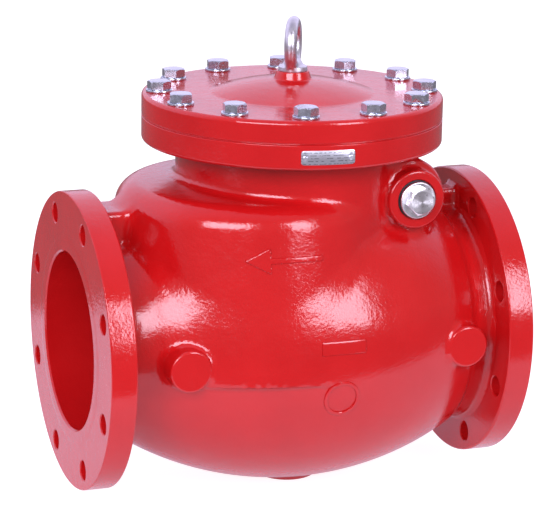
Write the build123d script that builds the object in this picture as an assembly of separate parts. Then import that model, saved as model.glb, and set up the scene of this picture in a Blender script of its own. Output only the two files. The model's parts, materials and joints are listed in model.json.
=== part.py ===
from build123d import *
import math
import os

# Flanged swing check valve, millimetres.
# The origin is the centre of the inlet flange face, +X runs with the flow to the outlet flange
# and +Z is up. The hinge pin lies along Y above the seat, and the clapper opens towards +X.

# Pipe flanges
FACE_TO_FACE = 500.0
FLANGE_R = 170.0
FLANGE_T = 30.0
BOLT_CIRCLE_R = 147.5
BOLT_HOLE_R = 11.5
BOLT_HOLES = 8
BORE_R = 101.5
FLANGE_EDGE = 2.0
ROOT_R = 10.0

# Barrel
CROWN_X = 236.0
CROWN_R = 180.0
CROWN_ARC_R = 375.0
INLET_NECK_R = 127.0
OUTLET_NECK_R = 115.0
OUTLET_NECK_X = 436.0
SHOULDER_X = 54.0
WALL = 12.0
CHAMBER_X = (74.0, 400.0)
BORE_TAPER = 18.0

# Hood over the open clapper
HOOD_X = 284.0
HOOD_BASE_R = 177.0
HOOD_R = 148.0
HOOD_Z = 171.5
HOOD_RISE = 28.0
HOOD_EDGE_R = 28.0

# Neck, top flange and cover
COVER_X = 235.0
NECK_R = 133.0
COVER_R = 172.0
TOP_FLANGE_Z = 247.0
TOP_FLANGE_T = 28.0
GASKET_T = 1.5
COVER_T = 25.0
DOME_R = 95.0
DOME_RISE = 16.0
EYE_BOSS_R = 18.5
EYE_BOSS_TOP = 298.0
COVER_BOLTS = 12
COVER_BOLT_CIRCLE_R = 152.0
COVER_BOLT_START = 15.0
COVER_EDGE_R = 5.0
THREAD_R = 8.0
TAPPED_DEPTH = 24.5
COVER_BOLT_LENGTH = 50.0
HEX_FLATS = 24.0
HEX_HEIGHT = 10.0
WASHER_R = 15.0
WASHER_T = 3.0

# Eye bolt
EYE_MAJOR_R = 24.5
EYE_MINOR_R = 7.0
EYE_Z = 328.5
EYE_ANGLE = 62.0
COLLAR_R = 16.5
COLLAR_T = 6.0
EYE_SHANK = 27.0

# Cast bosses
SIDE_BOSS_X = (75.0, 405.0)
SIDE_BOSS_R = 23.75
SIDE_BOSS_Y = 156.0
FOOT_R = 36.0
FOOT_Z = -183.5
RIB_START = 392.0
RIB_HALF_WIDTH = 31.0
RIB_TOP = 153.0
INLET_RIB_HALF_WIDTH = 14.0
INLET_RIB_TOP = 150.0
BOSS_EDGE_R = 3.0

# Nameplate on the rim of the top flange
PLATE_ANGLE = 82.8
PLATE_LENGTH = 60.0
PLATE_HEIGHT = 15.7
PLATE_Z = 233.6
PLATE_T = 1.0
RIVET_R = 2.6
RIVET_SHANK_R = 1.2

# Hinge
PIN_X = 129.5
PIN_Z = 167.5
PIN_R = 12.0
PIN_HALF_LENGTH = 101.0
HOUSING_R = 42.0
HOUSING_HALF_LENGTH = 103.0
HOUSING_CAVITY_R = 30.0
HOUSING_CAVITY_HALF = 62.0
BOSS_R = 33.5
BOSS_Y = 123.0
BUSH_R = 17.0
PLUG_THREAD_R = 18.0
PLUG_FLANGE_R = 21.0
PLUG_RECESS_R = 23.0
PLUG_RECESS_DEPTH = 4.0
PLUG_SEAL_T = 2.0
PLUG_FLANGE_T = 6.0
PLUG_HEX_FLATS = 28.0
PLUG_HEX_HEIGHT = 11.0
RUNNING_GAP = 0.05
THRUST_WASHER_R = 22.0
THRUST_WASHER_T = 3.95
KEY_WIDTH = 8.0
KEY_HEIGHT = 7.0
KEY_LENGTH = 60.0

# Clapper
OPEN_ANGLE = 70.0
SEAT_X = 115.0
SEAT_OUTER_R = 118.0
SEAT_SPIGOT_R = 109.0
NOZZLE_R = 122.0
NOZZLE_X = 110.0
SPIGOT_X = 92.0
DISC_R = 112.0
DISC_FRONT_X = 123.5
DISC_T = 16.0
FACING_T = 8.2
RETAINER_R = 92.0
RETAINER_T = 6.0
SCREW_CIRCLE_R = 62.0
SCREWS = 6
SCREW_R = 4.0
SCREW_HEAD_R = 8.0
SCREW_HEAD_T = 4.0
SCREW_DEPTH = 12.0
ARM_FRONT_X = 143.0
ARM_T = 18.0
ARM_HUB_R = 24.0
ARM_HUB_HALF = 56.5
ARM_BOSS_R = 32.0
ARM_BOSS_BACK_X = 165.0
WEB_HALF_WIDTH = 24.0
LUG_HALF_WIDTH = 9.0
LUG_X = (223.0, 261.0)
STUD_R = 14.0
STUD_THREAD_R = 10.0
STUD_SHOULDER_X = 165.6
DISC_WASHER_R = 24.0
DISC_WASHER_T = 4.0
DISC_NUT_T = 18.0
DISC_NUT_FLATS = 30.0
STUD_END_X = 192.0
SPLIT_PIN_R = 2.0

os.makedirs("parts", exist_ok=True)


def rod_x(radius, x0, x1, y=0.0, z=0.0):
    """Round solid along X."""
    return Pos((x0 + x1) / 2, y, z) * Rot(0, 90, 0) * Cylinder(radius, x1 - x0)


def rod_y(radius, y0, y1, x=PIN_X, z=PIN_Z):
    """Round solid along Y."""
    return Pos(x, (y0 + y1) / 2, z) * Rot(90, 0, 0) * Cylinder(radius, y1 - y0)


def rod_z(radius, z0, z1, x=COVER_X, y=0.0):
    """Round solid along Z."""
    return Pos(x, y, (z0 + z1) / 2) * Cylinder(radius, z1 - z0)


def block(x0, x1, y0, y1, z0, z1):
    """Box between two corners."""
    return Pos((x0 + x1) / 2, (y0 + y1) / 2, (z0 + z1) / 2) * Box(x1 - x0, y1 - y0, z1 - z0)


def hex_z(flats, height):
    """Hex prism standing on z = 0, with its top corners turned off at 30 degrees."""
    corner_r = flats / math.sqrt(3)
    prism = extrude(RegularPolygon(corner_r, 6), height)
    drop = (corner_r + 0.5 - 0.47 * flats) * math.tan(math.radians(30))
    cone = Pos(0, 0, height - drop / 2) * Cone(corner_r + 0.5, 0.47 * flats, drop)
    lower = Pos(0, 0, (height - drop) / 2) * Cylinder(corner_r + 0.5, height - drop)
    return prism & (cone + lower)


def on_cover_circle(index, shape):
    """A shape moved from the Z axis to one place on the cover's bolt circle."""
    angle = COVER_BOLT_START + 360.0 / COVER_BOLTS * index
    return Pos(COVER_X, 0, 0) * Rot(0, 0, angle) * Pos(COVER_BOLT_CIRCLE_R, 0, 0) * shape


def drill_cover_circle(shape, radius, low, high):
    """Cut a round hole at every cover bolt, between two heights."""
    cutter = rod_z(radius, low, high, 0)
    for i in range(COVER_BOLTS):
        shape = shape - on_cover_circle(i, cutter)
    return shape


def outer_circle(shape, axis, last=True):
    """The round edge that lies furthest along an axis, or nearest to its start."""
    circles = shape.edges().filter_by(GeomType.CIRCLE).sort_by(axis)
    return circles[-1 if last else 0]


def both_ways(side, near, far):
    """A span along Y on the front, side 1, or on the rear, side -1, lowest end first."""
    return sorted((side * near, side * far))


def crown_r(x, inset=0.0):
    """Radius of the barrel at x, on the long crown arc."""
    rise = math.sqrt(CROWN_ARC_R**2 - (x - CROWN_X) ** 2)
    return CROWN_R - CROWN_ARC_R + rise - inset


def crown_arc(x0, x1, inset=0.0):
    """The crown arc between two stations, in the plane of x and radius."""
    middle = (x0 + x1) / 2
    ends = [(x, crown_r(x, inset)) for x in (x0, middle, x1)]
    return ThreePointArc(*ends)


def flange_outline(face, back, root):
    """Outline of one pipe flange from its face's rim to the foot of its root fillet."""
    out = 1 if back > face else -1
    return Polyline(
        (face, FLANGE_R - FLANGE_EDGE),
        (face + out * FLANGE_EDGE, FLANGE_R),
        (back - out * FLANGE_EDGE, FLANGE_R),
        (back, FLANGE_R - FLANGE_EDGE),
        (back, root),
    )


def barrel_outer():
    """Both flanges, both necks and the barrel as one turned solid."""
    end = FACE_TO_FACE
    crown_from = SHOULDER_X + 10
    crown_to = OUTLET_NECK_X - 10
    inlet_root = INLET_NECK_R + ROOT_R
    outlet_root = OUTLET_NECK_R + ROOT_R
    back = end - FLANGE_T
    outline = [
        Polyline((end, FLANGE_R - FLANGE_EDGE), (end, 0), (0, 0), (0, FLANGE_R - FLANGE_EDGE)),
        flange_outline(0, FLANGE_T, inlet_root),
        RadiusArc((FLANGE_T, inlet_root), (FLANGE_T + ROOT_R, INLET_NECK_R), -ROOT_R),
        Line((FLANGE_T + ROOT_R, INLET_NECK_R), (SHOULDER_X - 6, INLET_NECK_R)),
        Line((SHOULDER_X - 6, INLET_NECK_R), (crown_from, crown_r(crown_from))),
        crown_arc(crown_from, crown_to),
        Line((crown_to, crown_r(crown_to)), (OUTLET_NECK_X + 4, OUTLET_NECK_R)),
        Line((OUTLET_NECK_X + 4, OUTLET_NECK_R), (back - ROOT_R, OUTLET_NECK_R)),
        RadiusArc((back - ROOT_R, OUTLET_NECK_R), (back, outlet_root), -ROOT_R),
        flange_outline(end, back, outlet_root),
    ]
    return revolve(make_face(outline), Axis.X)


def hood(inset):
    """Upright drum with draft, a shallow conical top and a large rounded edge; inset is the wall."""
    shelf = HOOD_Z - inset
    outline = Polyline((0, 0), (HOOD_BASE_R - inset, 0), (HOOD_R - inset, shelf),
                       (0, shelf + HOOD_RISE), (0, 0))
    profile = Plane.XZ * make_face(outline)
    corner = profile.vertices().sort_by(Axis.Z)[-2]
    return Pos(HOOD_X, 0, 0) * revolve(fillet(corner, HOOD_EDGE_R - inset), Axis.Z)


def top_flange():
    """Round flange that the cover is bolted to, with softened edges."""
    disc = rod_z(COVER_R, TOP_FLANGE_Z - TOP_FLANGE_T, TOP_FLANGE_Z)
    return fillet(outer_circle(disc, Axis.Z, last=False), 4)


def boss_y(radius, side, start, end, x, z):
    """Boss along Y, on one side of the casting, with its outer edge rounded."""
    near, far = both_ways(side, start, end)
    boss = rod_y(radius, near, far, x, z)
    return fillet(outer_circle(boss, Axis.Y, last=side > 0), BOSS_EDGE_R)


def body_bosses():
    """Hinge housing with its end bosses, the four blind side bosses, the foot and the ribs."""
    solids = [rod_y(HOUSING_R, -HOUSING_HALF_LENGTH, HOUSING_HALF_LENGTH)]
    for side in (1, -1):
        solids.append(boss_y(BOSS_R, side, HOUSING_HALF_LENGTH - 10, BOSS_Y, PIN_X, PIN_Z))
        for x in SIDE_BOSS_X:
            solids.append(boss_y(SIDE_BOSS_R, side, BORE_R, SIDE_BOSS_Y, x, 0))
    foot = rod_z(FOOT_R, FOOT_Z, -CROWN_R + 2 * WALL)
    solids.append(fillet(outer_circle(foot, Axis.Z, last=False), BOSS_EDGE_R))
    wide = RIB_HALF_WIDTH
    solids.append(block(RIB_START, FACE_TO_FACE - FLANGE_T + 2, -wide, wide, 90, RIB_TOP))
    wide = INLET_RIB_HALF_WIDTH
    solids.append(block(FLANGE_T - 2, PIN_X, -wide, wide, 110, INLET_RIB_TOP))
    return solids


def chamber():
    """The space inside: both bores, the barrel, the hood, the neck and the hinge pocket."""
    low, high = CHAMBER_X
    mouth = high + BORE_TAPER
    outline = [
        crown_arc(low, high, WALL),
        Polyline((high, crown_r(high, WALL)), (mouth, BORE_R), (mouth, 0), (low, 0)),
        Line((low, 0), (low, crown_r(low, WALL))),
    ]
    rooms = revolve(make_face(outline), Axis.X)
    rooms = rooms + hood(WALL) + rod_z(NECK_R - WALL, 0, TOP_FLANGE_Z + 1)
    rooms = rooms + rod_y(HOUSING_CAVITY_R, -HOUSING_CAVITY_HALF, HOUSING_CAVITY_HALF)
    nozzle = rod_x(NOZZLE_R, FLANGE_T, NOZZLE_X)
    return rooms - nozzle + rod_x(BORE_R, -1, FACE_TO_FACE + 1)


def pin_bores():
    """Bores for the bushes, the plug threads and the plug recesses, on both sides."""
    cutters = []
    for side in (1, -1):
        bush = both_ways(side, HOUSING_CAVITY_HALF - 1, PIN_HALF_LENGTH + 2)
        thread = both_ways(side, PIN_HALF_LENGTH + 1, BOSS_Y)
        recess = both_ways(side, BOSS_Y - PLUG_RECESS_DEPTH, BOSS_Y + 1)
        cutters.append(rod_y(BUSH_R + RUNNING_GAP, *bush))
        cutters.append(rod_y(PLUG_THREAD_R + RUNNING_GAP, *thread))
        cutters.append(rod_y(PLUG_RECESS_R, *recess))
    return cutters


def flange_holes():
    """Bolt holes of both pipe flanges, straddling the centre lines."""
    cutters = []
    for i in range(BOLT_HOLES):
        angle = math.radians(360 / BOLT_HOLES * (i + 0.5))
        y = BOLT_CIRCLE_R * math.cos(angle)
        z = BOLT_CIRCLE_R * math.sin(angle)
        cutters.append(rod_x(BOLT_HOLE_R, -1, FLANGE_T + 1, y, z))
        cutters.append(rod_x(BOLT_HOLE_R, FACE_TO_FACE - FLANGE_T - 1, FACE_TO_FACE + 1, y, z))
    return cutters


def valve_body():
    """The casting with its machined holes."""
    flange_low = TOP_FLANGE_Z - TOP_FLANGE_T
    shape = barrel_outer() + hood(0) + rod_z(NECK_R, 0, flange_low) + top_flange()
    for boss in body_bosses():
        shape = shape + boss
    seat_bore = rod_x(SEAT_SPIGOT_R + RUNNING_GAP, SPIGOT_X, NOZZLE_X + 1)
    for cutter in [chamber(), seat_bore] + pin_bores() + flange_holes():
        shape = shape - cutter
    return drill_cover_circle(shape, THREAD_R, TOP_FLANGE_Z - TAPPED_DEPTH, TOP_FLANGE_Z + 1)


def cover_low():
    """Height of the cover's underside."""
    return TOP_FLANGE_Z + GASKET_T


def cover():
    """Round lid with a low dome, an eye bolt boss and a lug that stops the arm."""
    low = cover_low()
    top = low + COVER_T
    slab = rod_z(COVER_R, low, top)
    slab = fillet(outer_circle(slab, Axis.Z), COVER_EDGE_R)
    dome_sphere_r = (DOME_R**2 + DOME_RISE**2) / (2 * DOME_RISE)
    ball = Pos(COVER_X, 0, top + DOME_RISE - dome_sphere_r) * Sphere(dome_sphere_r)
    dome = ball & rod_z(DOME_R + 1, top - 1, top + DOME_RISE + 1)
    boss_height = EYE_BOSS_TOP - top
    boss = Pos(COVER_X, 0, top + boss_height / 2) * Cone(EYE_BOSS_R + 3, EYE_BOSS_R, boss_height)
    hollow_ball = Pos(0, 0, low - top - 2) * ball
    recess = hollow_ball & rod_z(DOME_R - 8, low - 1, top)
    shape = slab + dome + boss - recess + stop_lug()
    shape = shape - rod_z(THREAD_R, EYE_BOSS_TOP - EYE_SHANK - 5, EYE_BOSS_TOP + 1)
    return drill_cover_circle(shape, THREAD_R + 1, low - 1, top + 1)


def stop_lug():
    """Lug under the cover. Its sloping end lies along the back of the arm when fully open."""
    angle = math.radians(OPEN_ANGLE)
    back = ARM_FRONT_X + ARM_T - PIN_X + 0.4

    def end_z(x):
        along = (x - PIN_X - back * math.cos(angle)) / math.sin(angle)
        return PIN_Z - along * math.cos(angle) + back * math.sin(angle)

    x0, x1 = LUG_X
    root = cover_low() + WALL + 2
    corners = ((x0, root), (x0, end_z(x0)), (x1, end_z(x1)), (x1, root), (x0, root))
    return extrude(make_face(Plane.XZ * Polyline(*corners)), LUG_HALF_WIDTH, both=True)


def cover_gasket():
    """Full-face sheet gasket."""
    sheet = rod_z(COVER_R - 1, TOP_FLANGE_Z, cover_low())
    hole = rod_z(NECK_R - WALL + 1, TOP_FLANGE_Z - 1, cover_low() + 1)
    return drill_cover_circle(sheet - hole, THREAD_R + 1, TOP_FLANGE_Z - 1, cover_low() + 1)


def cover_bolts():
    """Hex bolts, each left at its own angle as a spanner leaves it."""
    seat = cover_low() + COVER_T + WASHER_T
    face_t = 0.6
    shank = rod_z(THREAD_R - RUNNING_GAP, seat - COVER_BOLT_LENGTH, seat, 0)
    washer_face = rod_z(HEX_FLATS * 0.475, seat, seat + face_t, 0)
    head = Pos(0, 0, seat + face_t) * hex_z(HEX_FLATS, HEX_HEIGHT - face_t)
    bolt = head + washer_face + shank
    turned = [Rot(0, 0, 37 * i) * bolt for i in range(COVER_BOLTS)]
    return Compound(children=[on_cover_circle(i, one) for i, one in enumerate(turned)])


def cover_washers():
    """Plain washers under the bolt heads."""
    low = cover_low() + COVER_T
    high = low + WASHER_T
    washer = rod_z(WASHER_R, low, high, 0) - rod_z(THREAD_R + 0.5, low - 1, high + 1, 0)
    return Compound(children=[on_cover_circle(i, washer) for i in range(COVER_BOLTS)])


def eye_bolt():
    """Lifting eye: ring, flared neck, collar and shank."""
    base = EYE_BOSS_TOP
    ring = Pos(0, 0, EYE_Z) * Rot(90, 0, 0) * Torus(EYE_MAJOR_R, EYE_MINOR_R)
    collar = rod_z(COLLAR_R, base, base + COLLAR_T, 0)
    collar = fillet(outer_circle(collar, Axis.Z), 2)
    neck_top = EYE_Z - EYE_MAJOR_R + 5
    neck_low = base + COLLAR_T - 1
    neck = Pos(0, 0, (neck_low + neck_top) / 2) * Cone(14, 8.5, neck_top - neck_low)
    shank = rod_z(THREAD_R - RUNNING_GAP, base - EYE_SHANK, base, 0)
    stem = collar + neck + shank
    return Pos(COVER_X, 0, 0) * Rot(0, 0, EYE_ANGLE) * (stem + ring)


def plate_place(local):
    """Put a shape made round +X on to the rim, facing outwards at the nameplate."""
    return Pos(COVER_X, 0, PLATE_Z) * Rot(0, 0, PLATE_ANGLE) * local


def nameplate():
    """Thin plate rolled to the rim's curve, with rounded corners."""
    inner_r = COVER_R + 0.05
    shell = Cylinder(inner_r + PLATE_T, 30) - Cylinder(inner_r, 32)
    window = extrude(Plane.YZ * RectangleRounded(PLATE_LENGTH, PLATE_HEIGHT, 3), COVER_R + 10)
    plate = shell & window
    hole = Rot(0, 90, 0) * Cylinder(RIVET_SHANK_R + RUNNING_GAP, 12)
    for side in (1, -1):
        plate = plate - rivet_place(side, hole)
    return plate_place(plate)


def rivet_place(side, local):
    """Turn a shape made on +X at the rim to one end of the nameplate."""
    swing = math.degrees((PLATE_LENGTH / 2 - 4.5) / COVER_R)
    return Rot(0, 0, side * swing) * Pos(COVER_R, 0, 0) * local


def nameplate_rivets():
    """Round-headed drive rivets at both ends of the plate."""
    reach = PLATE_T + 0.05
    head = rod_z(RIVET_R, reach, reach + 1.2, 0)
    head = fillet(outer_circle(head, Axis.Z), 1.0)
    shank = rod_z(RIVET_SHANK_R, RUNNING_GAP, reach + 0.1, 0)
    rivet = Rot(0, 90, 0) * (head + shank)
    return Compound(children=[plate_place(rivet_place(side, rivet)) for side in (1, -1)])


def seat_ring():
    """Bronze seat pressed into the nozzle."""
    spigot = rod_x(SEAT_SPIGOT_R, SPIGOT_X + 0.5, NOZZLE_X)
    collar = rod_x(SEAT_OUTER_R, NOZZLE_X, SEAT_X)
    collar = fillet(outer_circle(collar, Axis.X), 2)
    return spigot + collar - rod_x(BORE_R, SPIGOT_X, SEAT_X + 1)


def key_block(grow):
    """Square key on top of the pin or, grown a little, the slot that it lies in."""
    key = Box(KEY_WIDTH + grow, KEY_LENGTH + grow, KEY_HEIGHT + grow)
    return Pos(PIN_X, 0, PIN_Z + PIN_R - 0.5) * key


def hinge_pin():
    """Straight pin with a keyway at the middle."""
    pin = rod_y(PIN_R, -PIN_HALF_LENGTH, PIN_HALF_LENGTH)
    ends = pin.edges().filter_by(GeomType.CIRCLE)
    return chamfer(ends, 1) - key_block(0.1)


def pin_bush(side):
    """Plain bearing for one end of the pin."""
    near, far = both_ways(side, HOUSING_CAVITY_HALF, PIN_HALF_LENGTH + 1)
    return rod_y(BUSH_R, near, far) - rod_y(PIN_R + RUNNING_GAP, near - 1, far + 1)


def plug_seal(side):
    """Sealing washer at the bottom of the plug's recess."""
    start = BOSS_Y - PLUG_RECESS_DEPTH
    near, far = both_ways(side, start, start + PLUG_SEAL_T)
    return rod_y(PLUG_RECESS_R - 1, near, far) - rod_y(PLUG_THREAD_R + 0.3, near - 1, far + 1)


def pin_plug(side):
    """Threaded plug with a round flange and a hex head."""
    base = BOSS_Y - PLUG_RECESS_DEPTH + PLUG_SEAL_T
    thread_depth = base - PIN_HALF_LENGTH - 2
    flange = rod_z(PLUG_FLANGE_R, 0, PLUG_FLANGE_T, 0)
    flange = fillet(outer_circle(flange, Axis.Z), 1.5)
    head = Pos(0, 0, PLUG_FLANGE_T) * hex_z(PLUG_HEX_FLATS, PLUG_HEX_HEIGHT)
    thread = rod_z(PLUG_THREAD_R - RUNNING_GAP, -thread_depth, 0, 0)
    plug = flange + Rot(0, 0, 12) * head + thread
    return Pos(PIN_X, side * base, PIN_Z) * Rot(-90 * side, 0, 0) * plug


def thrust_washer(side):
    """Washer between the arm's hub and the housing."""
    end = HOUSING_CAVITY_HALF - RUNNING_GAP
    near, far = both_ways(side, end - THRUST_WASHER_T, end)
    return rod_y(THRUST_WASHER_R, near, far) - rod_y(PIN_R + 0.3, near - 1, far + 1)


def swing_arm():
    """Hub on the pin, a web down to the boss that holds the disc."""
    front = ARM_FRONT_X
    back = ARM_FRONT_X + ARM_T
    foot = WEB_HALF_WIDTH - ARM_BOSS_R / 2
    corners = (
        (PIN_X - PIN_R, PIN_Z),
        (front, DISC_R + 6),
        (front, -foot),
        (back, -foot),
        (back, DISC_R + 14),
        (PIN_X + PIN_R + 2, PIN_Z + 8),
        (PIN_X - PIN_R, PIN_Z),
    )
    web = extrude(make_face(Plane.XZ * Polyline(*corners)), WEB_HALF_WIDTH, both=True)
    hub = rod_y(ARM_HUB_R, -ARM_HUB_HALF, ARM_HUB_HALF)
    boss = rod_x(ARM_BOSS_R, front, ARM_BOSS_BACK_X)
    pin_bore = rod_y(PIN_R + RUNNING_GAP, -ARM_HUB_HALF - 1, ARM_HUB_HALF + 1)
    stud_bore = rod_x(STUD_R + 0.08, front - 1, ARM_BOSS_BACK_X + 1)
    return web + hub + boss - pin_bore - stud_bore - key_block(0.1)


def disc():
    """Clapper plate with a rear pad and a stepped, threaded stud."""
    back = DISC_FRONT_X + DISC_T
    plate = rod_x(DISC_R, DISC_FRONT_X, back)
    plate = chamfer(outer_circle(plate, Axis.X), 5)
    pad = rod_x(ARM_BOSS_R, back - 1, ARM_FRONT_X - 0.35)
    stud = rod_x(STUD_R, back, STUD_SHOULDER_X) + rod_x(STUD_THREAD_R, back, STUD_END_X)
    shape = plate + pad + stud
    for y, z in screw_places():
        shape = shape - rod_x(SCREW_R, DISC_FRONT_X - 1, DISC_FRONT_X + SCREW_DEPTH + 1, y, z)
    return shape - split_pin_hole()


def split_pin_x():
    """X of the split pin, in the nut's slots."""
    return STUD_SHOULDER_X + DISC_WASHER_T + DISC_NUT_T - 3


def split_pin_hole():
    """Cross hole through the stud."""
    return rod_z(SPLIT_PIN_R + 0.2, -STUD_THREAD_R - 1, STUD_THREAD_R + 1, split_pin_x())


def screw_places():
    """Y and Z of the retainer screws."""
    angles = [math.radians(360 / SCREWS * (i + 0.5)) for i in range(SCREWS)]
    return [(SCREW_CIRCLE_R * math.cos(a), SCREW_CIRCLE_R * math.sin(a)) for a in angles]


def disc_facing():
    """Rubber ring that closes on the seat."""
    front = DISC_FRONT_X - FACING_T
    facing = rod_x(DISC_R, front, DISC_FRONT_X) - rod_x(20, front - 1, DISC_FRONT_X + 1)
    for y, z in screw_places():
        facing = facing - rod_x(SCREW_R + 0.2, front - 1, DISC_FRONT_X + 1, y, z)
    return facing


def retainer_front():
    """X of the retainer's upstream face."""
    return DISC_FRONT_X - FACING_T - RETAINER_T


def countersunk(radius, head_r):
    """Cone of a countersunk head along X, wide end on the retainer's upstream face."""
    cone = Rot(0, -90, 0) * Cone(radius, head_r, SCREW_HEAD_T)
    return Pos(retainer_front() + SCREW_HEAD_T / 2, 0, 0) * cone


def facing_retainer():
    """Plate that clamps the facing, countersunk for its screws."""
    front = retainer_front()
    plate = rod_x(RETAINER_R, front, front + RETAINER_T)
    plate = chamfer(outer_circle(plate, Axis.X, last=False), 2)
    sink = Pos(-RUNNING_GAP, 0, 0) * countersunk(SCREW_R + 0.1, SCREW_HEAD_R + 0.1)
    for y, z in screw_places():
        hole = rod_x(SCREW_R + 0.2, front - 1, DISC_FRONT_X, y, z)
        plate = plate - hole - Pos(0, y, z) * sink
    return plate


def retainer_screws():
    """Countersunk screws with a hex socket."""
    front = retainer_front()
    head = countersunk(SCREW_R - RUNNING_GAP, SCREW_HEAD_R - 0.1)
    shank = rod_x(SCREW_R - RUNNING_GAP, front + 3, DISC_FRONT_X + SCREW_DEPTH)
    socket = Pos(front - 0.5, 0, 0) * Rot(0, 90, 0) * extrude(RegularPolygon(2.9, 6), 3.3)
    screw = head + shank - socket
    return Compound(children=[Pos(0, y, z) * screw for y, z in screw_places()])


def disc_washer():
    """Washer between the stud's shoulder and the nut."""
    low = STUD_SHOULDER_X
    high = low + DISC_WASHER_T
    return rod_x(DISC_WASHER_R, low, high) - rod_x(STUD_THREAD_R + 0.1, low - 1, high + 1)


def disc_nut():
    """Castle nut with six slots for the split pin."""
    bore = Cylinder(STUD_THREAD_R + RUNNING_GAP, 4 * DISC_NUT_T)
    nut = hex_z(DISC_NUT_FLATS, DISC_NUT_T) - bore
    slot = Pos(0, 0, DISC_NUT_T - 2.5) * Box(2 * DISC_NUT_FLATS, 2 * SPLIT_PIN_R + 0.8, 6)
    for angle in (0, 60, 120):
        nut = nut - Rot(0, 0, angle) * slot
    return Pos(STUD_SHOULDER_X + DISC_WASHER_T, 0, 0) * Rot(0, 90, 0) * nut


def split_pin():
    """Cross pin with an eye at one end and its legs bent over at the other."""
    x = split_pin_x()
    reach = DISC_NUT_FLATS / 2 + 5
    stem = rod_z(SPLIT_PIN_R, -reach, reach, x)
    eye = Pos(x, 0, reach + 2) * Rot(90, 0, 0) * Torus(3, 1.5)
    legs = rod_x(1.3, x - 7, x + 7, 0, 1.3 - reach)
    return stem + eye + legs


for name, shape in {
    "valve_body": valve_body(),
    "cover": cover(),
    "cover_gasket": cover_gasket(),
    "cover_bolts": cover_bolts(),
    "cover_washers": cover_washers(),
    "eye_bolt": eye_bolt(),
    "nameplate": nameplate(),
    "nameplate_rivets": nameplate_rivets(),
    "seat_ring": seat_ring(),
    "hinge_pin": hinge_pin(),
    "arm_key": key_block(0),
    "swing_arm": swing_arm(),
    "pin_bush_front": pin_bush(1),
    "pin_bush_rear": pin_bush(-1),
    "pin_plug_front": pin_plug(1),
    "pin_plug_rear": pin_plug(-1),
    "plug_seal_front": plug_seal(1),
    "plug_seal_rear": plug_seal(-1),
    "thrust_washer_front": thrust_washer(1),
    "thrust_washer_rear": thrust_washer(-1),
    "disc": disc(),
    "disc_facing": disc_facing(),
    "facing_retainer": facing_retainer(),
    "retainer_screws": retainer_screws(),
    "disc_washer": disc_washer(),
    "disc_nut": disc_nut(),
    "split_pin": split_pin(),
}.items():
    export_step(shape, f"parts/{name}.step")
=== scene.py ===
import json
import math

import bmesh
import bpy
import numpy as np
from mathutils import Matrix, Vector


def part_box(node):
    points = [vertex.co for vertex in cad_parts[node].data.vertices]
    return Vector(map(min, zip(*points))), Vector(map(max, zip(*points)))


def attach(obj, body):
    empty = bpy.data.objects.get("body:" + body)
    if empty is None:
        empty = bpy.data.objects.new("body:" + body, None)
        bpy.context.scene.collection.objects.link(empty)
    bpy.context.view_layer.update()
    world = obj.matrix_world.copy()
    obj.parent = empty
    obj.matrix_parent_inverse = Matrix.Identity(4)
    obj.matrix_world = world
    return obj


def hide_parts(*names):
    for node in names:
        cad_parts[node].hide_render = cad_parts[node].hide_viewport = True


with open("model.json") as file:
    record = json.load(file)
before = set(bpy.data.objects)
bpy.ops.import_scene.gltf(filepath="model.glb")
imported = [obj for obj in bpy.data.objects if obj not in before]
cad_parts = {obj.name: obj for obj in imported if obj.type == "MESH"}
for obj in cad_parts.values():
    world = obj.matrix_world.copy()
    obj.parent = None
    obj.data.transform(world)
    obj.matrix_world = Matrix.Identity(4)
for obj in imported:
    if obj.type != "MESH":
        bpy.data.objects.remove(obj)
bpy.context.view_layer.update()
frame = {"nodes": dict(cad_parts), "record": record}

# Swing check valve. Everything is in metres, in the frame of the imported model: the origin is the
# centre of the inlet flange face, +X runs with the flow and +Z points up through the cover.

MM = 0.001

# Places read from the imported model.
BODY_LOW, BODY_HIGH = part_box("valve_body")
COVER_LOW, COVER_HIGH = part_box("cover")
FACE_TO_FACE = BODY_HIGH.x - BODY_LOW.x
COVER_X = (COVER_LOW.x + COVER_HIGH.x) / 2
COVER_R = (COVER_HIGH.x - COVER_LOW.x) / 2
TOP_FLANGE_Z = BODY_HIGH.z
EYE_BOSS_TOP = COVER_HIGH.z
FLOOR_Z = BODY_LOW.z

# Pipe flanges and bore.
FLANGE_R = 0.170
FLANGE_T = 0.030
BOLT_CIRCLE_R = 0.1475
BOLT_HOLE_R = 0.0115
BOLT_HOLES = 8
BORE_R = 0.1015
SEAT_X = (0.092, 0.111)
SEAT_R = 0.10905

# Barrel: a crowned wall between the two necks.
CROWN_X = 0.236
CROWN_ARC_R = 0.375
CROWN_CENTRE = 0.195       # how far the arc's centre lies beyond the axis
CROWN_END_X = 0.46
SHOULDER_X = 0.052
INLET_NECK_R = 0.127
OUTLET_NECK_R = 0.115
WALL = 0.012
CHAMBER_X = (0.074, 0.400)
TAPER_X = (0.398, 0.418, 0.420)
TAPER_SLOPE = 1.5

# Hood over the open clapper.
HOOD_X = 0.2839
HOOD_R = 0.1512
HOOD_Z = 0.1730
HOOD_SLOPE = 0.090
HOOD_EDGE = 0.021
HOOD_DRAFT = 0.168
HOOD_BASE_Z = -0.02

# Neck, top flange and cover.
NECK_R = 0.133
TOP_FLANGE_BASE = 0.219
COVER_BASE = TOP_FLANGE_Z + 1.5 * MM
COVER_TOP = COVER_BASE + 25 * MM
COVER_BOLTS = 12
COVER_BOLT_CIRCLE_R = 0.152
COVER_BOLT_START = 15
COVER_HOLE_R = 0.009
THREAD_R = 0.008
TAPPED_DEPTH = 0.0245
DOME_R = 0.095
DOME_RISE = 0.016
RECESS_R = 0.086
RECESS_LIFT = 0.002
EYE_BOSS_R = 0.0185
EYE_BOSS_ROOT_R = 0.0245
LUG_X = (0.223, 0.261)
LUG_HALF_WIDTH = 0.009
ARM_BACK = 0.0319
OPEN_ANGLE = math.radians(70)

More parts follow.
